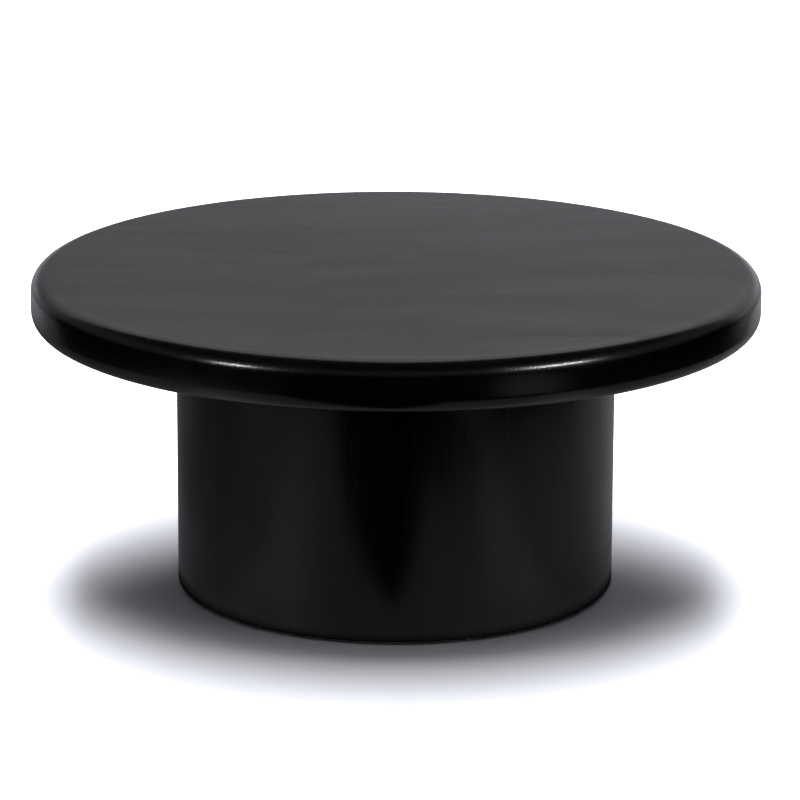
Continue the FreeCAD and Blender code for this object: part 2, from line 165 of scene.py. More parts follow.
def turn_top_disc():
    """One disc with both rims rounded."""
    start_clean()
    bpy.ops.mesh.primitive_cylinder_add(
        vertices=ROUND_STEPS,
        radius=TOP_RADIUS,
        depth=TOP_HEIGHT - TOP_UNDERSIDE,
        location=(0, 0, (TOP_HEIGHT + TOP_UNDERSIDE) / 2),
    )
    disc = bpy.context.object
    bpy.ops.object.transform_apply(location=True)
    for height, rounding in ((TOP_HEIGHT, UPPER_ROUNDING), (TOP_UNDERSIDE, LOWER_ROUNDING)):
        edit(disc, "EDGE")
        select_edges(disc, lambda a, b: near(a.z, height) and near(b.z, height))
        bpy.ops.mesh.bevel(offset=rounding, segments=ROUNDING_STEPS, profile=0.5, affect="EDGES")
    start_clean()
    return disc


top_disc = turn_top_disc()
print("disc faces", len(top_disc.data.polygons))

# %% Saw the disc into boards


def saw_board(disc, node):
    """A copy of the disc between the two glue faces of one board."""
    low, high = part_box(node)
    pick_only(disc)
    bpy.ops.object.duplicate()
    board = bpy.context.object
    for place, side in ((low.y, "inner"), (high.y, "outer")):
        # The outermost boards have the round rim on one side instead of a glue face.
        if near(abs(place), TOP_RADIUS, BOARD_WIDTH / 10):
            continue
        edit(board)
        bpy.ops.mesh.select_all(action="SELECT")
        bpy.ops.mesh.bisect(
            plane_co=(0, place, 0),
            plane_no=(0, 1, 0),
            threshold=EXACT,
            use_fill=True,
            clear_inner=side == "inner",
            clear_outer=side == "outer",
        )
    start_clean()
    return finish_piece(board, f"{node}_wood", "table", node)


boards = [saw_board(top_disc, node) for node in BOARDS]
bpy.data.objects.remove(top_disc)
print("boards", [len(board.data.polygons) for board in boards])

# %% [markdown]
# ## The staves of the drum
# A cooper bevels flat staves, glues them into a ring and turns the outside round; the inside stays
# flat. Each end has a rabbet for the plywood. One stave is drawn as its upright section, spun through
# its share of the circle and cut flat inside. The others are copies, each turned to its place.

# %% Draw one stave
STAVE_STEPS = 16
STAVE_SPARE = 0.006
STAVE_MERGE = 1e-6
FOOT_STEPS = 5


def is_inner_edge(a, b):
    """True for the edge of the section between the two rabbets."""
    low, high = sorted((a.z, b.z))
    between = FOOT_SHOULDER - SAME_LENGTH < low and high < HEAD_SHOULDER + SAME_LENGTH
    return between and near(a.x, RABBET_RADIUS) and near(b.x, RABBET_RADIUS)


def draw_section():
    """The upright section of a stave, standing on the +X axis, as one flat face."""
    start_clean()
    bpy.ops.mesh.primitive_plane_add(size=1, rotation=(math.pi / 2, 0, 0))
    section = bpy.context.object
    section.scale = (DRUM_RADIUS - RABBET_RADIUS, DRUM_HEAD - DRUM_FOOT, 1)
    section.location = ((DRUM_RADIUS + RABBET_RADIUS) / 2, 0, (DRUM_HEAD + DRUM_FOOT) / 2)
    bpy.ops.object.transform_apply(location=True, rotation=True, scale=True)
    for height in (FOOT_SHOULDER, HEAD_SHOULDER):
        edit(section)
        bpy.ops.mesh.select_all(action="SELECT")
        bpy.ops.mesh.bisect(plane_co=(0, 0, height), plane_no=(0, 0, 1), threshold=EXACT)
    edit(section, "EDGE")
    select_edges(section, is_inner_edge)
    bpy.ops.mesh.extrude_region_move(
        TRANSFORM_OT_translate={"value": (DRUM_INSIDE - STAVE_SPARE - RABBET_RADIUS, 0, 0)}
    )
    edit(section)
    mesh = bmesh.from_edit_mesh(section.data)
    for vert in mesh.verts:
        vert.select_set(near(vert.co.x, DRUM_RADIUS) and near(vert.co.z, DRUM_FOOT))
    bpy.ops.mesh.bevel(offset=FOOT_ROUNDING, segments=FOOT_STEPS, affect="VERTICES")
    start_clean()
    return section


def spin_stave(section):
    """The section spun through one stave's angle, cut flat inside and closed."""
    section.rotation_euler.z = STAVE_ANGLE / 2
    pick_only(section)
    bpy.ops.object.transform_apply(rotation=True)
    edit(section)
    bpy.ops.mesh.select_all(action="SELECT")
    bpy.ops.mesh.spin(steps=STAVE_STEPS, angle=STAVE_ANGLE, center=(0, 0, 0), axis=(0, 0, 1))
    bpy.ops.mesh.select_all(action="SELECT")
    bpy.ops.mesh.remove_doubles(threshold=STAVE_MERGE)
    bpy.ops.mesh.select_all(action="SELECT")
    bpy.ops.mesh.bisect(
        plane_co=(DRUM_INSIDE, 0, 0),
        plane_no=(1, 0, 0),
        threshold=EXACT,
        use_fill=True,
        clear_inner=True,
    )
    bpy.ops.mesh.select_all(action="SELECT")
    bpy.ops.mesh.normals_make_consistent(inside=False)
    start_clean()
    return section


first_stave = spin_stave(draw_section())
stave_mesh = bmesh.new()
stave_mesh.from_mesh(first_stave.data)
open_edges = sum(not edge.is_manifold for edge in stave_mesh.edges)
volume = stave_mesh.calc_volume()
print("stave faces", len(stave_mesh.faces), "open edges", open_edges, "volume in cubic metres", volume)
stave_mesh.free()

# %% Copy it round the drum


def copy_stave(pattern, number, node):
    """A copy of the first stave with its own mesh, turned to its place in the ring."""
    pick_only(pattern)
    bpy.ops.object.duplicate()
    stave = bpy.context.object
    stave.rotation_euler.z = number * STAVE_ANGLE
    return finish_piece(stave, f"{node}_wood", "table", node)


staves = [copy_stave(first_stave, number, node) for number, node in enumerate(STAVES)]
bpy.data.objects.remove(first_stave)
print("staves", len(staves))

# %% [markdown]
# ## Tools for turned and threaded fittings
# The steel and plastic fittings are turned parts. On a lathe, and here, one half outline makes the whole
# piece: a single vertex is extruded from point to point along the outline, and the line is spun round the
# axis. A screw thread is the same idea with a lift: the Screw modifier carries one tooth round and up.
# Threads could be left to a bump map, but a bump does not change the outline, and on the levelling feet
# the outline of the thread is what shows. Depth, start and tooth of a thread are shares of its pitch.

# %% Lathe and thread
LATHE_STEPS = 48
THREAD_STEPS = 24
THREAD_DEPTH = 0.61
THREAD_START = 1.36
TOOTH_FOOT = 0.25
CREST_START = 0.5625
CREST_END = 0.6875
ENVELOPE_SIZE = 1.5


def draw_line(points):
    """A line of edges through (radius, height) points, drawn by extruding one vertex."""
    start_clean()
    bpy.ops.mesh.primitive_plane_add(size=1)
    line = bpy.context.object
    edit(line)
    bpy.ops.mesh.select_all(action="SELECT")
    bpy.ops.mesh.merge(type="CENTER")
    bpy.ops.transform.translate(value=(points[0][0], 0, points[0][1]))
    for (radius, height), (next_radius, next_height) in zip(points, points[1:]):
        step = (next_radius - radius, 0, next_height - height)
        bpy.ops.mesh.extrude_vertices_move(TRANSFORM_OT_translate={"value": step})
    start_clean()
    return line


def close_mesh(obj):
    """Merge doubles and let all faces point outwards."""
    edit(obj)
    bpy.ops.mesh.select_all(action="SELECT")
    bpy.ops.mesh.remove_doubles(threshold=EXACT)
    bpy.ops.mesh.select_all(action="SELECT")
    bpy.ops.mesh.normals_make_consistent(inside=False)
    start_clean()
    return obj


def turn(points, steps=LATHE_STEPS):
    """A solid turned from a half outline that starts and ends on the axis."""
    line = draw_line(points)
    edit(line)
    bpy.ops.mesh.select_all(action="SELECT")
    bpy.ops.mesh.spin(steps=steps, angle=2 * math.pi, center=(0, 0, 0), axis=(0, 0, 1))
    return close_mesh(line)


def apply_modifier(obj, kind, **settings):
    """Add one modifier to an object, set it up and apply it."""
    pick_only(obj)
    modifier = obj.modifiers.new(kind.lower(), kind)
    for key, setting in settings.items():
        setattr(modifier, key, setting)
    bpy.ops.object.modifier_apply(modifier=modifier.name)
    return obj


def cut(obj, tool, operation="DIFFERENCE"):
    """Cut an object with another one, or keep what they share, and throw the tool away."""
    apply_modifier(obj, "BOOLEAN", object=tool, operation=operation, solver="EXACT")
    bpy.data.objects.remove(tool)
    return obj


def join(first, *others):
    """Join objects into the first one."""
    pick_only(first)
    for other in others:
        other.select_set(True)
    bpy.ops.object.join()
    return first


def saw_flat(obj, height, side):
    """Cut everything on one side of a height away and close the cut."""
    edit(obj)
    bpy.ops.mesh.select_all(action="SELECT")
    bpy.ops.mesh.bisect(
        plane_co=(0, 0, height),
        plane_no=(0, 0, 1),
        threshold=EXACT,
        use_fill=True,
        clear_inner=side == "below",
        clear_outer=side == "above",
    )
    start_clean()


def threaded_rod(radius, pitch, low, high, steps=THREAD_STEPS):
    """A rod with a right-hand thread between two heights, with a chamfer on its far end."""
    root = radius - THREAD_DEPTH * pitch
    start = low - THREAD_START * pitch
    tooth = [(root, 0.0), (root, TOOTH_FOOT), (radius, CREST_START), (radius, CREST_END), (root, 1.0)]
    rod = draw_line([(reach, start + part * pitch) for reach, part in tooth])
    apply_modifier(
        rod,
        "SCREW",
        axis="Z",
        steps=steps,
        render_steps=steps,
        screw_offset=pitch,
        iterations=math.ceil((high - start) / pitch) + 1,
        use_merge_vertices=True,
        merge_threshold=EXACT,
    )
    close_mesh(rod)
    saw_flat(rod, low, "below")
    saw_flat(rod, high, "above")
    close_mesh(rod)
    room = ENVELOPE_SIZE * radius
    cone = [(room, low - room), (room, high - room + root), (root, high)]
    envelope = turn([(0, low - room), *cone, (0, high + pitch)], steps=2 * steps)
    return cut(rod, envelope, "INTERSECT")


print("lathe steps", LATHE_STEPS, "and steps in a turn of thread", THREAD_STEPS)

# %% [markdown]
# ## Levelling feet
# Four feet under the base ring set the table level. Each is an M8 stud with a hexagon for a spanner and a
# ball that swivels in a plastic pad. The stud is turned, threaded and given its hexagon, whose corners
# are chamfered as on a real one: a cone of 30 degrees, which starts just inside the flats, takes them
# off. Then it is copied to the four places.

# %% Model one stud
M8_RADIUS = 0.004
M8_PITCH = 0.00125
BALL_RADIUS = 0.005
BALL_STEPS = 14
NECK_RADIUS = 0.0032
NECK_OVERLAP = 0.001
RUNNING_GAP = 0.0003
COLLAR_FLATS = 0.014
COLLAR_HEIGHT = 0.005
CHAMFER_START = 0.97
CHAMFER_REACH = 1.02
CHAMFER_SLOPE = 0.58
STUD_NODES = sorted(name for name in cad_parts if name.startswith("leveller_stud"))
PAD_NODES = sorted(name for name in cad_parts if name.startswith("leveller_pad"))

stud_low, stud_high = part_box(STUD_NODES[0])
BALL_CENTRE = stud_low.z + BALL_RADIUS
PAD_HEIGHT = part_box(PAD_NODES[0])[1].z
COLLAR_LOW = PAD_HEIGHT + RUNNING_GAP


def hexagon(flats, low, high):
    """A hexagonal prism with corners on the X axis."""
    start_clean()
    bpy.ops.mesh.primitive_cylinder_add(
        vertices=6,
        radius=flats / math.sqrt(3),
        depth=high - low,
        location=(0, 0, (high + low) / 2),
        rotation=(0, 0, math.pi / 6),
    )
    prism = bpy.context.object
    bpy.ops.object.transform_apply(location=True, rotation=True)
    return prism


def chamfered_hexagon(flats, low, high):
    """A hexagon whose corners are taken off by a cone at both ends."""
    prism = hexagon(flats, low, high)
    rim = flats / 2 * CHAMFER_START
    corner = flats / math.sqrt(3) * CHAMFER_REACH
    drop = (corner - rim) * CHAMFER_SLOPE
    outline = [(0, low), (rim, low), (corner, low + drop), (corner, high - drop), (rim, high), (0, high)]
    return cut(prism, turn(outline), "INTERSECT")


def model_stud():
    """Ball, neck, hexagon and thread on the Z axis."""
    neck_angle = math.asin(NECK_RADIUS / BALL_RADIUS)
    sweep = math.pi - neck_angle
    arc = [sweep * step / BALL_STEPS for step in range(BALL_STEPS + 1)]
    outline = [(BALL_RADIUS * math.sin(a), BALL_CENTRE - BALL_RADIUS * math.cos(a)) for a in arc]
    neck_end = COLLAR_LOW + NECK_OVERLAP
    outline += [(NECK_RADIUS, neck_end), (0, neck_end)]
    ball = turn(outline)
    collar = chamfered_hexagon(COLLAR_FLATS, COLLAR_LOW, COLLAR_LOW + COLLAR_HEIGHT)
    rod = threaded_rod(M8_RADIUS, M8_PITCH, COLLAR_LOW + COLLAR_HEIGHT, stud_high.z)
    return join(ball, collar, rod)


def place_copies(pattern, nodes, body, ending, smooth_angle=SMOOTH_ANGLE):
    """Copies of a piece on the Z axis, one at the middle of each node's box, on numbered bodies."""
    pieces = []
    for number, node in enumerate(nodes, start=1):
        low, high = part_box(node)
        pick_only(pattern)
        bpy.ops.object.duplicate()
        copy = bpy.context.object
        copy.location = ((low.x + high.x) / 2, (low.y + high.y) / 2, 0)
        pieces.append(finish_piece(copy, f"{node}_{ending}", f"{body}_{number}", node, smooth_angle))
    bpy.data.objects.remove(pattern)
    return pieces


studs = place_copies(model_stud(), STUD_NODES, "stud", "steel")
print("studs", [len(stud.data.polygons) for stud in studs])

# %% [markdown]
# The pad is moulded in tough black plastic: a low dished disc, a lip that snaps over the ball and rings
# on the sole that keep it from sliding.

# %% Model one pad
PAD_RADIUS = (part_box(PAD_NODES[0])[1].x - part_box(PAD_NODES[0])[0].x) / 2
PAD_STEPS = 64
PAD_SMOOTH_ANGLE = 35
SOLE_ROUNDING = 0.0008
RIM_ROUNDING = 0.0024
RIM_DROP = 0.0044
RIM_SWEEP = 70
LIP_RADII = (0.0098, 0.0090, 0.0083)
LIP_DROPS = (0.0008, 0.0003, 0.0)
SOCKET_RADIUS = BALL_RADIUS + RUNNING_GAP
MOUTH_CHAMFER = 0.0006
MOUTH_TURN = 5
SOLE_GROOVES = (0.0060, 0.0100, 0.0140)
GROOVE_WIDTH = 0.0008
GROOVE_DEPTH = 0.0004


def arc_points(centre_radius, centre_height, radius, start, end, steps):
    """Points on an arc; angles run from the outward direction towards the top, in degrees."""
    angles = [math.radians(start + (end - start) * step / steps) for step in range(steps + 1)]
    return [(centre_radius + radius * math.cos(a), centre_height + radius * math.sin(a)) for a in angles]


def model_pad():
    """One pad on the Z axis, from the sole round the rim and down into the socket."""
    outline = [(0, 0)]
    for groove in SOLE_GROOVES:
        outline += [(groove, 0), (groove + GROOVE_WIDTH / 4, GROOVE_DEPTH)]
        outline += [(groove + GROOVE_WIDTH * 3 / 4, GROOVE_DEPTH), (groove + GROOVE_WIDTH, 0)]
    outline += arc_points(PAD_RADIUS - SOLE_ROUNDING, SOLE_ROUNDING, SOLE_ROUNDING, -90, 0, steps=4)
    rim_middle = PAD_HEIGHT - RIM_DROP
    outline += arc_points(PAD_RADIUS - RIM_ROUNDING, rim_middle, RIM_ROUNDING, 0, RIM_SWEEP, steps=6)
    outline += [(radius, PAD_HEIGHT - drop) for radius, drop in zip(LIP_RADII, LIP_DROPS)]
    mouth = math.asin((PAD_HEIGHT - BALL_CENTRE) / SOCKET_RADIUS)
    outline += [(SOCKET_RADIUS * math.cos(mouth) + MOUTH_CHAMFER, PAD_HEIGHT)]
    socket_start = math.degrees(mouth) - MOUTH_TURN
    outline += arc_points(0, BALL_CENTRE, SOCKET_RADIUS, socket_start, -90, steps=10)
    outline[-1] = (0, outline[-1][1])
    return turn(outline, PAD_STEPS)


pads = place_copies(model_pad(), PAD_NODES, "foot", "plastic", PAD_SMOOTH_ANGLE)
print("pads", [len(pad.data.polygons) for pad in pads])

# %% [markdown]
# ## Bolts and screws
# Eight socket bolts hold the top to the drum; their heads show when the table lies on its side. Twelve
# wood screws hold the base ring. One of each is modelled with its key socket or cross recess, which are
# cut as the maker strikes them, with a punch of the same shape.

# %% Model the bolts
BOLT_COUNT = 8
bolt_low, bolt_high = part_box("top_bolts")
BOLT_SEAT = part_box("bolt_washers")[0].z
HEAD_RADIUS = 0.007
HEAD_ROUNDING = 0.0016
SEAT_CHAMFER = 0.0003
THREAD_OVERLAP = 0.0005
KEY_FLATS = 0.005
KEY_DEPTH = 0.003
KEY_MOUTH_RADIUS = 0.0033
KEY_MOUTH_DEPTH = 0.0005
PUNCH_SPARE = 0.001
BOLT_CIRCLE = (bolt_high.x - HEAD_RADIUS) / math.cos(math.pi / BOLT_COUNT)


def model_bolt():
    """One bolt on the Z axis with its head down."""
    face = bolt_low.z
    outline = [(0, face)]
    outline += arc_points(HEAD_RADIUS - HEAD_ROUNDING, face + HEAD_ROUNDING, HEAD_ROUNDING, -90, 0, steps=6)
    outline += [(HEAD_RADIUS, BOLT_SEAT - SEAT_CHAMFER), (HEAD_RADIUS - SEAT_CHAMFER, BOLT_SEAT)]
    head = turn([*outline, (0, BOLT_SEAT)])
    start = face - PUNCH_SPARE
    end = face + KEY_MOUTH_DEPTH
    mouth = [(0, start), (KEY_MOUTH_RADIUS, start), (KEY_FLATS / 2, end), (0, end)]
    head = cut(head, hexagon(KEY_FLATS, start, face + KEY_DEPTH))
    head = cut(head, turn(mouth, LATHE_STEPS // 2))
    return join(head, threaded_rod(M8_RADIUS, M8_PITCH, BOLT_SEAT - THREAD_OVERLAP, bolt_high.z))


def ring_of_copies(pattern, count, radius, first_angle):
    """Copies of a piece on a circle, joined into one object."""
    copies = []
    for number in range(count):
        angle = first_angle + number * 2 * math.pi / count
        pick_only(pattern)
        bpy.ops.object.duplicate()
        copy = bpy.context.object
        copy.location = (radius * math.cos(angle), radius * math.sin(angle), 0)
        copy.rotation_euler.z = angle
        bpy.ops.object.transform_apply(location=True, rotation=True)
        copies.append(copy)
    bpy.data.objects.remove(pattern)
    return join(*copies)


bolts = ring_of_copies(model_bolt(), BOLT_COUNT, BOLT_CIRCLE, math.pi / BOLT_COUNT)
finish_piece(bolts, "top_bolts_steel", "table", "top_bolts")

# %% Model the wood screws
SCREW_COUNT = 12
SCREW_RADIUS = 0.00225
SCREW_HEAD_RADIUS = 0.00425
SCREW_RIM = 0.0001
SCREW_POINT = 0.005
RECESS_WIDTH = 0.0011
RECESS_LENGTH = 0.0048
RECESS_DEPTH = 0.0014
RECESS_TIP = 0.45
screw_low, screw_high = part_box("ring_screws")
SCREW_CIRCLE = screw_high.x - SCREW_HEAD_RADIUS


def cross_punch(face):
    """The punch of a cross recess: two bars, each drawn in towards its tip."""
    bars = []
    for turned in (0, math.pi / 2):
        start_clean()
        bpy.ops.mesh.primitive_cube_add(size=1)
        bar = bpy.context.object
        bar.scale = (RECESS_LENGTH, RECESS_WIDTH, 2 * RECESS_DEPTH)
        bar.location.z = face
        bar.rotation_euler.z = turned
        bpy.ops.object.transform_apply(location=True, rotation=True, scale=True)
        edit(bar, "FACE")
        mesh = bmesh.from_edit_mesh(bar.data)
        for side in mesh.faces:
            side.select_set(side.calc_center_median().z > face + RECESS_DEPTH / 2)
        bmesh.update_edit_mesh(bar.data)
        bpy.ops.transform.resize(value=(RECESS_TIP, RECESS_TIP, 1), center_override=(0, 0, face))
        start_clean()
        bars.append(bar)
    return bars


def model_screw():
    """One countersunk screw on the Z axis with its head down."""
    face = screw_low.z
    neck = face + SCREW_HEAD_RADIUS - SCREW_RADIUS
    outline = [(0, face), (SCREW_HEAD_RADIUS - SCREW_RIM, face), (SCREW_HEAD_RADIUS, face + SCREW_RIM)]
    outline += [(SCREW_RADIUS, neck), (SCREW_RADIUS, screw_high.z - SCREW_POINT), (0, screw_high.z)]
    screw = turn(outline)
    for bar in cross_punch(face):
        screw = cut(screw, bar)
    return screw


screws = ring_of_copies(model_screw(), SCREW_COUNT, SCREW_CIRCLE, 0)
finish_piece(screws, "ring_screws_steel", "table", "ring_screws")

# %% [markdown]
# ## A small language for shaders
# Shader maths reads best as sums. The first class below wraps one output socket, so that `1 - mask` or
# `a * 3 + b` adds the Math nodes by itself. The second one stands for a node tree, and all its nodes
# come from one method.

# %% Shader helper
NOISE_MIDDLE = 0.5


class Value:
    """One output socket of a node tree that takes part in Python sums."""

    def __init__(self, tree, socket):
        self.tree = tree
        self.socket = socket

    def math(self, operation, first, second=0.0):
        return self.tree.add("ShaderNodeMath", {"operation": operation}, {0: first, 1: second})

    def __add__(self, other):
        return self.math("ADD", self, other)

    def __radd__(self, other):
        return self.math("ADD", other, self)

    def __sub__(self, other):
        return self.math("SUBTRACT", self, other)

    def __rsub__(self, other):
        return self.math("SUBTRACT", other, self)

    def __mul__(self, other):
        return self.math("MULTIPLY", self, other)

    def __truediv__(self, other):
        return self.math("DIVIDE", self, other)

    def floor(self):
        return self.math("FLOOR", self)

    def size(self):
        return self.math("ABSOLUTE", self)

    def root(self):
        return self.math("SQRT", self)

    def at_least(self, bound):
        return self.math("MAXIMUM", self, bound)

    def at_most(self, bound):
        return self.math("MINIMUM", self, bound)

    def band(self, low, high):
        """0 below low, 1 above high and smooth between them."""
        settings = {"interpolation_type": "SMOOTHSTEP"}
        sockets = {"Value": self, "From Min": low, "From Max": high}
        return self.tree.add("ShaderNodeMapRange", settings, sockets)


class Shader:
    """The node tree of one material or of the world."""

    def __init__(self, owner):
        owner.use_nodes = True
        self.nodes = owner.node_tree.nodes
        self.links = owner.node_tree.links
        self.nodes.clear()

    def add(self, kind, settings=None, sockets=None, output=0):
        """Add a node, set it up, fill its sockets with values or links and return one output."""
        node = self.nodes.new(kind)
        for key, setting in (settings or {}).items():
            setattr(node, key, setting)
        for key, value in (sockets or {}).items():
            if isinstance(value, Value):
                self.links.new(value.socket, node.inputs[key])
            else:
                node.inputs[key].default_value = value
        return Value(self, node.outputs[output]) if node.outputs else None

    def parts(self, vector):
        """The three numbers of a vector."""
        return [self.add("ShaderNodeSeparateXYZ", sockets={0: vector}, output=axis) for axis in "XYZ"]

    def place(self):
        """The three object coordinates of the shaded point."""
        return self.parts(self.add("ShaderNodeTexCoord", output="Object"))

    def noise(self, place, scales, detail, roughness):
        """Noise at a place of three numbers, each drawn together by its own scale."""
        scaled = {axis: part * scale for axis, part, scale in zip("XYZ", place, scales)}
        vector = self.add("ShaderNodeCombineXYZ", sockets=scaled)
        sockets = {"Vector": vector, "Scale": 1.0, "Detail": detail, "Roughness": roughness}
        return self.add("ShaderNodeTexNoise", sockets=sockets)

    def mix_colour(self, factor, first, second):
        sockets = {"Factor": factor, "A": first, "B": second}
        return self.add("ShaderNodeMix", {"data_type": "RGBA"}, sockets, output=2)

    def bump(self, height, strength, distance):
        sockets = {"Height": height, "Strength": strength, "Distance": distance}
        return self.add("ShaderNodeBump", sockets=sockets)

    def surface(self, **sockets):
        """A Principled surface on the output; names have _ for spaces."""
        named = {key.replace("_", " "): value for key, value in sockets.items()}
        shader = self.add("ShaderNodeBsdfPrincipled", sockets=named)
        self.add("ShaderNodeOutputMaterial", sockets={"Surface": shader})


def grey(value, warm=0.0):
    """A dark neutral colour, a little warm or cool."""
    return (value * (1 + warm), value, value * (1 - warm), 1)


def dress(objects, material):
    """Give objects one material in place of any that they have."""
    for obj in objects:
        obj.data.materials.clear()
        obj.data.materials.append(material)


print("shader helper ready, noise is about", NOISE_MIDDLE, "on average")

# %% [markdown]
# ## Black-stained wood under satin lacquer
# The stain hides the colour of the wood, but its fibres still show: open pores print through the
# lacquer as fine lines along the grain, and early and late wood take the sheen a little differently.
# The grain is a solid pattern drawn out along the fibres, so long streaks lie on a face and small
# specks on an end. A number for each board or stave shifts it, so no two carry the same figure. The
# last coat of lacquer is sprayed by hand and lies in faint clouds.

# %% Wood finish
STAIN_DARK = grey(0.0011, -0.03)
STAIN_PALE = grey(0.0025, -0.03)
TOP_ROUGHNESS = 0.19
DRUM_ROUGHNESS = 0.20
COAT_MOST = 0.20
COAT_BAND = (0.30, 0.70)
LACQUER_IOR = 1.5

CLOUDS = {"scales": (4, 11, 11), "detail": 3.0, "roughness": 0.5}
WAVES = {"scales": (4, 28, 28), "detail": 2.0, "roughness": 0.5}
FIGURE = {"scales": (3.2, 70, 70), "detail": 3.0, "roughness": 0.55}
FIBRE = {"scales": (9, 420, 420), "detail": 2.0, "roughness": 0.6}
PORES = {"scales": (26, 1500, 1500), "detail": 1.0, "roughness": 0.5}
PORE_BAND = (0.30, 0.42)
STREAK_BAND = (0.35, 0.70)
SHIFT_ALONG = 7.31
SHIFT_ACROSS = 0.73

COLOUR_SHARE = {"streaks": 0.7, "fibre": 0.3}
SHEEN_SHARE = {"figure": 0.10, "fibre": 0.06, "pores": 0.10}
RELIEF_SHARE = {"waves": 4.0, "figure": 0.8, "fibre": 0.15, "pores": 0.35}
RELIEF_STRENGTH = 0.12
RELIEF_HEIGHT = 0.0004


def black_wood(name, fibres, sheen):
    """Lacquered wood; fibres(shader) gives distances along and across the grain and a piece number."""
    material = bpy.data.materials.new(name)
    shader = Shader(material)
    along, across, depth, number = fibres(shader)
    place = (along + number * SHIFT_ALONG, across + number * SHIFT_ACROSS, depth)
    clouds = shader.noise(place, **CLOUDS)
    waves = shader.noise(place, **WAVES)
    figure = shader.noise(place, **FIGURE)
    fibre = shader.noise(place, **FIBRE)
    pores = 1 - shader.noise(place, **PORES).band(*PORE_BAND)
    streaks = figure.band(*STREAK_BAND)
    pale = streaks * COLOUR_SHARE["streaks"] + fibre * COLOUR_SHARE["fibre"]
    roughness = sheen + (figure - NOISE_MIDDLE) * SHEEN_SHARE["figure"]
    roughness = roughness + (fibre - NOISE_MIDDLE) * SHEEN_SHARE["fibre"] + pores * SHEEN_SHARE["pores"]
    relief = waves * RELIEF_SHARE["waves"] + figure * RELIEF_SHARE["figure"]
    relief = relief + fibre * RELIEF_SHARE["fibre"] - pores * RELIEF_SHARE["pores"]
    shader.surface(
        Base_Color=shader.mix_colour(pale, STAIN_DARK, STAIN_PALE),
        Roughness=roughness,
        IOR=LACQUER_IOR,
        Coat_Weight=clouds.band(*COAT_BAND) * COAT_MOST,
        Coat_Roughness=sheen,
        Normal=shader.bump(relief, RELIEF_STRENGTH, RELIEF_HEIGHT),
    )
    return material


def board_fibres(shader):
    """Boards lie along X and are counted across Y."""
    x, y, z = shader.place()
    return x, y, z, ((y + TOP_RADIUS) / BOARD_WIDTH).floor()


def stave_fibres(shader):
    """Staves stand along Z and are counted round the axis; the first lies across the X axis."""
    x, y, z = shader.place()
    angle = x.math("ARCTAN2", y, x)
    return z, x, y, (angle / STAVE_ANGLE + len(STAVES) + 0.5).floor()


top_wood = black_wood("black_top_wood", board_fibres, TOP_ROUGHNESS)
drum_wood = black_wood("black_drum_wood", stave_fibres, DRUM_ROUGHNESS)
dress(boards, top_wood)
dress(staves, drum_wood)
print("wood on", len(boards), "boards and", len(staves), "staves")

# %% [markdown]
# ## Plywood
# The plate under the top and the ring in the foot are birch plywood: thirteen thin sheets with their
# grain crossed. Seen flat, the face is one pale peeled sheet with long soft waves. Seen at a cut edge,
# pale and darker layers take turns with thin glue lines between them. The way a face points chooses
# between the two, and the height in the sheet counts the layers.

# %% Plywood finish
PLY_COUNT = 13
VENEER_PALE = (0.62, 0.47, 0.31, 1)
VENEER_DARK = (0.50, 0.35, 0.21, 1)
END_GRAIN = (0.36, 0.23, 0.13, 1)
GLUE_LINE = (0.16, 0.09, 0.05, 1)
GLUE_SHARE = 0.8
SPECK_SHARE = 0.5

FACE_WAVES = {"scales": (5, 34, 34), "detail": 3.0, "roughness": 0.5}
FACE_FIBRES = {"scales": (60, 900, 900), "detail": 2.0, "roughness": 0.6}
EDGE_SPECKS = {"scales": (700, 700, 120), "detail": 2.0, "roughness": 0.6}
WAVE_BAND = (0.35, 0.65)
CROSSED_BAND = (0.49, 0.51)
LOWER_GLUE = (0.02, 0.10)
UPPER_GLUE = (0.90, 0.98)
FLAT_BAND = (0.6, 0.8)
FACE_SHARE = {"waves": 0.6, "fibres": 0.4}
ROUGH_SHARE = {"fibres": 0.6, "specks": 0.4}
PLY_ROUGHNESS = 0.52
PLY_SHEEN = 0.16
PLY_IOR = 1.45
PLY_STRENGTH = 0.25
PLY_HEIGHT = 0.0003


def plywood(name, node):
    """Birch plywood whose layers are counted from the underside of one node."""
    low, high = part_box(node)
    material = bpy.data.materials.new(name)
    shader = Shader(material)
    place = shader.place()
    waves = shader.noise(place, **FACE_WAVES)
    fibres = shader.noise(place, **FACE_FIBRES)
    specks = shader.noise(place, **EDGE_SPECKS)
    dark = waves.band(*WAVE_BAND) * FACE_SHARE["waves"] + fibres * FACE_SHARE["fibres"]
    face = shader.mix_colour(dark, VENEER_PALE, VENEER_DARK)
    layer = (place[2] - low.z) / ((high.z - low.z) / PLY_COUNT)
    crossed = (layer / 2 - (layer / 2).floor()).band(*CROSSED_BAND)
    in_layer = layer - layer.floor()
    glue = 1 - in_layer.band(*LOWER_GLUE) * (1 - in_layer.band(*UPPER_GLUE))
    plies = shader.mix_colour(crossed, VENEER_PALE, END_GRAIN)
    plies = shader.mix_colour(specks * SPECK_SHARE, plies, VENEER_DARK)
    edge = shader.mix_colour(glue * GLUE_SHARE, plies, GLUE_LINE)
    normal = shader.add("ShaderNodeNewGeometry", output="Normal")
    lying = shader.add("ShaderNodeSeparateXYZ", sockets={0: normal}, output="Z")
    relief = fibres * ROUGH_SHARE["fibres"] + specks * ROUGH_SHARE["specks"]
    shader.surface(
        Base_Color=shader.mix_colour(lying.size().band(*FLAT_BAND), edge, face),
        Roughness=PLY_ROUGHNESS + fibres * PLY_SHEEN,
        IOR=PLY_IOR,
        Normal=shader.bump(relief, PLY_STRENGTH, PLY_HEIGHT),
    )
    return material


def redress(node, material):
    """Give a CAD node that is kept a better material."""
    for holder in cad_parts[node].material_slots:
        holder.material = material


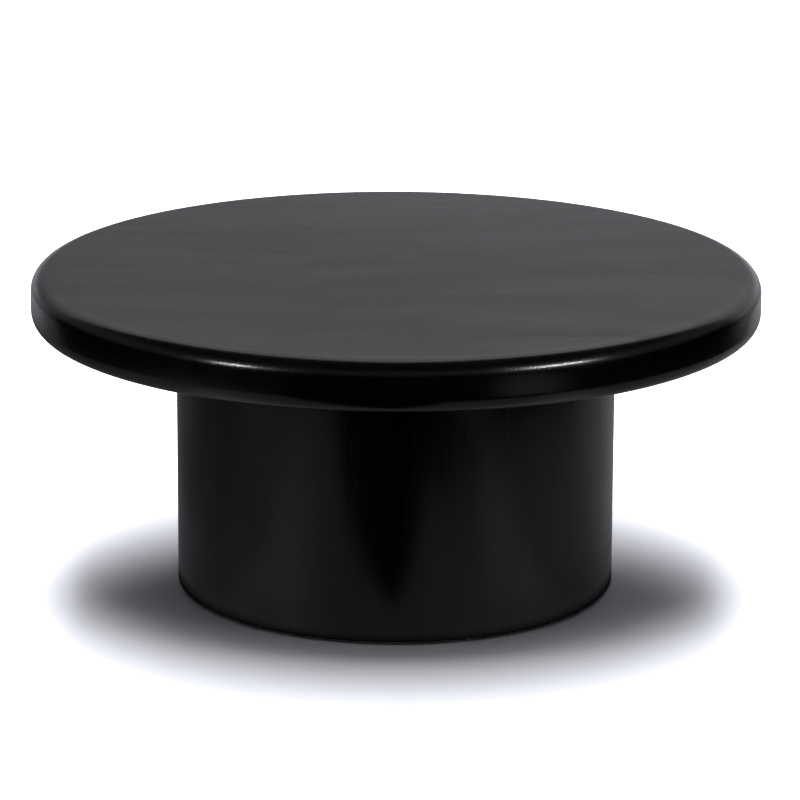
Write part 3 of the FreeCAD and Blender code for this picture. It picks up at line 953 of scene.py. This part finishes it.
for node in ("drum_top_plate", "drum_base_ring"):
    redress(node, plywood(f"{node}_plywood", node))
print("plywood of", PLY_COUNT, "sheets on the plate and the ring")

# %% [markdown]
# ## Steel and plastic
# Zinc-plated steel is bright but never even: the plating is cloudy and a little blue, and handling dulls
# it in patches. The bolts are blackened steel with an oily sheen. The pads are black moulded plastic,
# whose skin has the fine grain of a spark-eroded mould.

# %% Steel and plastic finishes
CLOUD_BAND = (0.32, 0.68)
CLOUD_SHARE = 0.8
GRAIN_SHARE = 0.2
CLOUD_SHEEN = 0.25
GRAIN_SHEEN = 0.10
GRAIN_HEIGHT = 0.0001


def fitting(name, pale, dark, metal, roughness, cloud_size, grain_size, relief):
    """A fitting's finish: cloudy colour and sheen with a fine grain; sizes in metres."""
    material = bpy.data.materials.new(name)
    shader = Shader(material)
    place = shader.place()
    clouds = shader.noise(place, [1 / cloud_size] * 3, detail=4.0, roughness=0.6)
    grain = shader.noise(place, [1 / grain_size] * 3, detail=2.0, roughness=0.5)
    worn = clouds.band(*CLOUD_BAND) * CLOUD_SHARE + grain * GRAIN_SHARE
    uneven = (clouds - NOISE_MIDDLE) * CLOUD_SHEEN + (grain - NOISE_MIDDLE) * GRAIN_SHEEN
    shader.surface(
        Base_Color=shader.mix_colour(worn, dark, pale),
        Metallic=metal,
        Roughness=roughness + uneven,
        Normal=shader.bump(grain, relief, GRAIN_HEIGHT),
    )
    return material


zinc = fitting(
    "zinc_plate",
    pale=(0.66, 0.67, 0.68, 1),
    dark=(0.47, 0.49, 0.52, 1),
    metal=1.0,
    roughness=0.34,
    cloud_size=0.004,
    grain_size=0.0003,
    relief=0.10,
)
blackened = fitting(
    "blackened_steel",
    pale=(0.040, 0.039, 0.040, 1),
    dark=(0.016, 0.016, 0.018, 1),
    metal=0.7,
    roughness=0.42,
    cloud_size=0.003,
    grain_size=0.0002,
    relief=0.12,
)
moulded = fitting(
    "moulded_plastic",
    pale=(0.022, 0.022, 0.023, 1),
    dark=(0.012, 0.012, 0.013, 1),
    metal=0.0,
    roughness=0.48,
    cloud_size=0.006,
    grain_size=0.0004,
    relief=0.30,
)

for node in ("bolt_washers", "leveller_nuts", "plate_screws", "threaded_inserts"):
    redress(node, zinc)
for pieces, material, slot in (
    ([*studs, screws], zinc, "zinc_steel"),
    ([bolts], blackened, "black_steel"),
    (pads, moulded, "pad_plastic"),
):
    dress(pieces, material)
print("finishes", [material.name for material in bpy.data.materials])

# %% [markdown]
# ## Camera
# The photograph was taken with a long lens from a little above the table. The place and the lens come
# from fitting the outlines of the top and the drum; the camera also leans by a quarter of a degree.

# %% Camera
CAMERA_DISTANCE = 5.263
CAMERA_SIDE = 0.0055
CAMERA_HEIGHT = 1.6806
CAMERA_TILT = 0.2682
CAMERA_LEAN = 0.0043
IMAGE_WIDTH = 800
FOCAL_PIXELS = 4321.6

camera_data = bpy.data.cameras.new("photo_camera")
camera_data.sensor_width = 36
camera_data.lens = FOCAL_PIXELS / IMAGE_WIDTH * camera_data.sensor_width
camera = bpy.data.objects.new("photo_camera", camera_data)
bpy.context.collection.objects.link(camera)
camera.matrix_world = (
    Matrix.Translation((CAMERA_SIDE, -CAMERA_DISTANCE, CAMERA_HEIGHT))
    @ Matrix.Rotation(math.pi / 2 - CAMERA_TILT, 4, "X")
    @ Matrix.Rotation(CAMERA_LEAN, 4, "Z")
)
bpy.context.scene.camera = camera
bpy.context.scene.view_settings.view_transform = "Standard"
print(f"lens {camera_data.lens:.1f} mm")

# %% [markdown]
# ## Room
# Black lacquer shows its surroundings more than itself. In the photograph the room is pale behind and
# above the table and dark on the camera's side, so the top is grey and its front edge black. The world
# gives that room, a little cool in colour: a pale quarter behind the table that brightens upwards and to
# the right and narrows below the horizon, a glow along the horizon straight behind, and a faint light in
# front, which the top mirrors in views from behind. The camera sees it plain white. Diffuse light gets
# very little of it, because it would fill the shadow under the top.

# %% Room
QUARTER_SPREAD = 0.75
QUARTER_EDGE = (0.01, 0.12)
SKY_LOW = 0.215
LOW_HEIGHT = 0.225
LOW_ENDS = (0.60, 0.80)
SKY_RISE = 1.30
SKY_SIDE = 0.32
SIDE_LEAST = -0.12
HORIZON_EDGE = (-0.15, 0.0)
HORIZON_GLOW = 0.35
GLOW_HEIGHTS = (0.03, 0.14)
GLOW_ENDS = (0.36, 0.60)
GLOW_SHIFT = 0.06
GLOW_TILT = 0.3
ROOM_FRONT = 0.115
FRONT_START = (0.0, 0.20)
FRONT_FADE = (0.4, 0.7)
FRONT_LOSS = 0.8
ROOM_TINT = (0.97, 0.98, 1.04, 1)
DIFFUSE_LEVEL = 0.014

world = bpy.data.worlds.new("studio")
bpy.context.scene.world = world
sky = Shader(world)
sky_x, sky_y, sky_z = sky.parts(sky.add("ShaderNodeTexCoord", output="Generated"))
behind = (sky_y - sky_x.size() * QUARTER_SPREAD).band(*QUARTER_EDGE)
climb = (sky_z - LOW_HEIGHT).at_least(0.0) * SKY_RISE
raised = sky_z.band(*HORIZON_EDGE)
side = sky_x.at_least(SIDE_LEAST) * raised * SKY_SIDE
kept = raised.at_least(1 - sky_x.size().band(*LOW_ENDS))
at_horizon = 1 - sky_z.size().band(*GLOW_HEIGHTS)
straight_behind = 1 - (sky_x + GLOW_SHIFT).size().band(*GLOW_ENDS)
glow = at_horizon * straight_behind * (1 + sky_x * GLOW_TILT) * HORIZON_GLOW
dusk = sky_z.band(*FRONT_START) * (1 - sky_z.band(*FRONT_FADE) * FRONT_LOSS) * ROOM_FRONT
level = ((SKY_LOW + side + climb) * kept + glow) * behind + dusk * (1 - behind)
diffuse = sky.add("ShaderNodeLightPath", output="Is Diffuse Ray")
room = level * (1 - diffuse) + diffuse * DIFFUSE_LEVEL
room_light = sky.add("ShaderNodeBackground", sockets={"Color": ROOM_TINT, "Strength": room})
white = sky.add("ShaderNodeBackground", sockets={"Color": (1, 1, 1, 1), "Strength": 1.0})
sky_seen = sky.add("ShaderNodeLightPath", output="Is Camera Ray")
sky_light = sky.add("ShaderNodeMixShader", sockets={0: sky_seen, 1: room_light, 2: white})
sky.add("ShaderNodeOutputWorld", sockets={"Surface": sky_light})
print("room nodes", len(sky.nodes))

# %% [markdown]
# ## Floor
# The floor is a sheet of white paper, and the camera sees it white with the shadow of the table on it.
# Every other ray sees a glow painted on the paper in place of the lit paper that the lacquer mirrors: a
# painted pool of light on each side of the table with a brighter painted strip in it, and between the
# pools a painted dark wedge where the camera stands. On the left of the table the glow is painted a little
# darker. Far behind, the painted glow is paler, which the two ends of the top's edge show. Painted shade
# darkens the glow where the paper meets the drum. A painted glowing spot far out on the right shows in the
# edge of the top, and a painted glowing patch below the drum lights its inside. From below the sheet is
# clear, so that the underside can be looked at.

# %% Floor sheet
FLOOR_FRONT = -2.1
FLOOR_BACK = 9.0
FLOOR_SIDE = 1.4

start_clean()
bpy.ops.mesh.primitive_plane_add(size=1)
floor = bpy.context.object
floor.name = "studio_floor"
floor.scale = (2 * FLOOR_SIDE, FLOOR_BACK - FLOOR_FRONT, 1)
floor.location = (0, (FLOOR_BACK + FLOOR_FRONT) / 2, 0)
bpy.ops.object.transform_apply(location=True, rotation=True, scale=True)
print("paper", [round(side, 2) for side in floor.dimensions])

# %% Painted light and shade that the paper gives to the lacquer
# Levels of the painted light that the paper glows with for every ray but the camera's.
PAPER_LEVEL = 0.175
PAPER_RISE = 0.06
RISE_END = 0.6
PAPER_TILT = 0.07
TILT_END = 0.5
TILT_START = (0.0, 0.3)
PAPER_DIM = 0.08
DIM_SIDE = (0.1, 0.6)
DIM_START = (-0.35, 0.0)
LEFT_POOL = {"middle": -0.50, "radius": 1.20}
RIGHT_POOL = {"middle": 0.35, "radius": 0.88}
POOL_EDGE = 0.03
WEDGE_TIP = 0.42
WEDGE_LEFT = 1.15
WEDGE_RIGHT = 2.30
WEDGE_EDGE = (-0.05, 0.08)
STRIP_LEVEL = 0.13
STRIP_EDGE = (0.03, 0.25)
STRIP_END = (0.6, 0.95)
FAR_LEVEL = 0.30
FAR_TILT = 0.15
FAR_START = (1.36, 1.90)
FAN_SPREAD = 0.5
FAN_EDGE = (0.55, 1.0)
FAN_START = (0.2, 0.6)

paper = bpy.data.materials.new("white_paper")
sheet = Shader(paper)
sheet_x, sheet_y, _ = sheet.place()
aside = sheet_x.size()
ahead = (0 - sheet_y).at_least(0.0)


def pool(middle, radius):
    """1 on the painted pool of light of one side, which has no end behind the table."""
    off = sheet_x - middle
    return 1 - (off * off + ahead * ahead).root().band(radius - POOL_EDGE, radius + POOL_EDGE)


# Painted light: a base glow that rises behind the table and grows brighter towards the right.
rise = sheet_y.at_least(0.0).at_most(RISE_END) * PAPER_RISE
tilt = sheet_x.at_least(-TILT_END).at_most(TILT_END) * sheet_y.band(*TILT_START) * PAPER_TILT
# Painted shade: on the left of the table the glow is a little darker, fading out towards the front.
painted_left_shade = (0 - sheet_x).band(*DIM_SIDE) * sheet_y.band(*DIM_START) * PAPER_DIM
# Painted shade: a dark wedge in front of the table, where the pools are taken away; it spreads more to the
# left than to the right.
wedge_side = aside * WEDGE_LEFT + sheet_x.at_least(0.0) * (WEDGE_RIGHT - WEDGE_LEFT)
painted_dark_wedge = (ahead - WEDGE_TIP - wedge_side).band(*WEDGE_EDGE)
# Painted light: a pale pool on each side of the table, outside the dark wedge.
painted_light_pools = pool(**LEFT_POOL).at_least(pool(**RIGHT_POOL)) * (1 - painted_dark_wedge)
# Painted highlight: a brighter strip along each front diagonal inside the pools, fading out to the sides.
painted_light_strips = (1 - (aside + sheet_y).size().band(*STRIP_EDGE)) * (1 - aside.band(*STRIP_END))
# Painted light: the glow is paler far behind the table, in a fan that widens backwards, a little more so on
# the left.
fan = (1 - (aside - sheet_y * FAN_SPREAD).band(*FAN_EDGE)) * sheet_y.band(*FAN_START)
distance = (sheet_x * sheet_x + sheet_y * sheet_y).root()
far = distance.band(*FAR_START) * fan * (1 - sheet_x * FAR_TILT) * FAR_LEVEL
# pale is the whole painted light of the paper: base glow, less the painted shade on the left, plus the
# painted strips, inside the painted pools, with the painted far glow added.
pale = (PAPER_LEVEL + rise + tilt - painted_left_shade + painted_light_strips * STRIP_LEVEL) * painted_light_pools + far
print("paper nodes", len(sheet.nodes))

# %% Painted shade at the drum, painted glow in the edge and painted light below
CONTACT_SHADE = 0.45
CONTACT_END = 0.50
CONTACT_SIDES = (0.08, 0.28)
FOOT_END = 0.31
GLOW_PLACE = (1.05, -1.42)
GLOW_EDGE = (0.08, 0.48)
GLOW_LEVEL = 0.36
UNDER_EDGE = (0.20, 0.26)
PAINTED_UNDER_GLOW = 0.7
SECOND_BOUNCE = (1.0, 2.0)


def spot(x, y, inside, outside):
    """1 within the first distance of a point of the paper, fading to 0 at the second."""
    off_x = sheet_x - x
    off_y = sheet_y - y
    return 1 - (off_x * off_x + off_y * off_y).root().band(inside, outside)


# Painted shade: the glow darkens towards the drum on its left and right sides.
painted_contact_shade = spot(0, 0, DRUM_RADIUS, CONTACT_END) * aside.band(*CONTACT_SIDES) * CONTACT_SHADE
# Painted shade: the glow fades to nothing at the drum's foot, a painted dark contact line.
foot = spot(0, 0, DRUM_RADIUS, FOOT_END)
# Painted glows: a bright spot far out on the right, which the edge of the top mirrors, and a glowing patch
# under the drum that lights its inside.
painted_glow_spots = spot(*GLOW_PLACE, *GLOW_EDGE) * GLOW_LEVEL + spot(0, 0, *UNDER_EDGE) * PAINTED_UNDER_GLOW
bounced = sheet.add("ShaderNodeLightPath", output="Diffuse Depth").band(*SECOND_BOUNCE)
# The whole painted light and shade of the paper, left out for diffuse rays after their first bounce.
painted_light_level = (pale * (1 - painted_contact_shade) * (1 - foot) + painted_glow_spots) * (1 - bounced)
print("paper nodes with shade and spots", len(sheet.nodes))

# %% Paper finish
PAPER_WHITE = (2.18, 2.20, 2.36, 1)

# For every ray but the camera's, the paper is not lit but glows with this painted light.
painted_reflection_glow = sheet.add("ShaderNodeEmission", sockets={"Color": ROOM_TINT, "Strength": painted_light_level})
bright = sheet.add("ShaderNodeBsdfDiffuse", sockets={"Color": PAPER_WHITE})
clear = sheet.add("ShaderNodeBsdfTransparent")
paper_seen = sheet.add("ShaderNodeLightPath", output="Is Camera Ray")
below = sheet.add("ShaderNodeNewGeometry", output="Backfacing")
above = sheet.add("ShaderNodeMixShader", sockets={0: paper_seen, 1: painted_reflection_glow, 2: bright})
paper_light = sheet.add("ShaderNodeMixShader", sockets={0: below, 1: above, 2: clear})
sheet.add("ShaderNodeOutputMaterial", sockets={"Surface": paper_light})
paper.cycles.emission_sampling = "NONE"
dress([floor], paper)
print("paper finish", paper.name, "with", len(sheet.nodes), "nodes")

# %% [markdown]
# ## Lamps
# A wide bank of light high over the table lights the paper and drops the soft shadow, and a smaller one
# lifts the shadow in front of the drum. Two small soft boxes stand in front, left and right of the
# camera; the upper rounding mirrors each as a thin streak. The banks are kept out of the reflections and
# the soft boxes out of the diffuse light, because the photograph shows no streak from above and no
# second shadow.

# %% Lamps
LAMP_AIM = Vector((0, 0, 0.38))
BANK_DISTANCE = 8.5
BOX_DISTANCE = 2.9


def lamp(name, azimuth, elevation, distance, width, length, radiance):
    """A rectangular lamp that faces the table; azimuth 0 is behind it and 90 to its right."""
    lamp_data = bpy.data.lights.new(name, "AREA")
    lamp_data.shape = "RECTANGLE"
    lamp_data.size = width
    lamp_data.size_y = length
    lamp_data.energy = radiance * math.pi * width * length
    holder = bpy.data.objects.new(name, lamp_data)
    bpy.context.collection.objects.link(holder)
    bearing = math.radians(azimuth)
    lift = math.radians(elevation)
    level_part = math.cos(lift)
    away = Vector((math.sin(bearing) * level_part, math.cos(bearing) * level_part, math.sin(lift)))
    holder.location = LAMP_AIM + away * distance
    holder.rotation_euler = away.to_track_quat("Z", "Y").to_euler()
    holder.visible_camera = False
    return holder


banks = [
    lamp("overhead_bank", 0, 79, BANK_DISTANCE, width=3.8, length=12.0, radiance=6.8),
    lamp("front_bank", 180, 63, BANK_DISTANCE, width=3.8, length=3.0, radiance=1.5),
]
soft_boxes = [
    lamp("soft_box_left", -133.6, 11.8, BOX_DISTANCE, width=0.40, length=0.16, radiance=60),
    lamp("soft_box_right", 132.8, 17, BOX_DISTANCE, width=0.75, length=0.16, radiance=56),
]
for bank in banks:
    bank.visible_glossy = False
for soft_box in soft_boxes:
    soft_box.visible_diffuse = False
    soft_box.data.cycles.use_multiple_importance_sampling = False

# %% [markdown]
# From behind, the flat of the top would mirror the soft boxes as two burnt-out patches. A photographer
# stops such light with a flag, a black card. This one is a low curved card over the front half of the
# top: it lets the soft boxes reach the rounding and keeps them off the flat. It only casts shadow, and
# the banks shine through it.

# %% Flag
FLAG_RADIUS = 0.52
FLAG_LOW = 0.424
FLAG_HIGH = 0.69
FLAG_END = 0.30
FLAG_STEPS = 96

start_clean()
bpy.ops.mesh.primitive_cylinder_add(
    vertices=FLAG_STEPS,
    radius=FLAG_RADIUS,
    depth=FLAG_HIGH - FLAG_LOW,
    end_fill_type="NOTHING",
    location=(0, 0, (FLAG_HIGH + FLAG_LOW) / 2),
)
flag = bpy.context.object
flag.name = "studio_flag"
bpy.ops.object.transform_apply(location=True)
edit(flag)
bpy.ops.mesh.select_all(action="SELECT")
bpy.ops.mesh.bisect(plane_co=(0, FLAG_END, 0), plane_no=(0, 1, 0), threshold=EXACT, clear_outer=True)
start_clean()
for kind in ("camera", "diffuse", "glossy", "transmission"):
    setattr(flag, f"visible_{kind}", False)
card = bpy.data.materials.new("black_card")
Shader(card).surface(Base_Color=grey(0.02), Roughness=0.9)
dress([flag], card)

clear_of_banks = bpy.data.collections.new("clear_of_banks")
clear_of_banks.objects.link(flag)
clear_of_banks.collection_objects[0].light_linking.link_state = "EXCLUDE"
for bank in banks:
    bank.light_linking.blocker_collection = clear_of_banks
print("flag faces", len(flag.data.polygons))
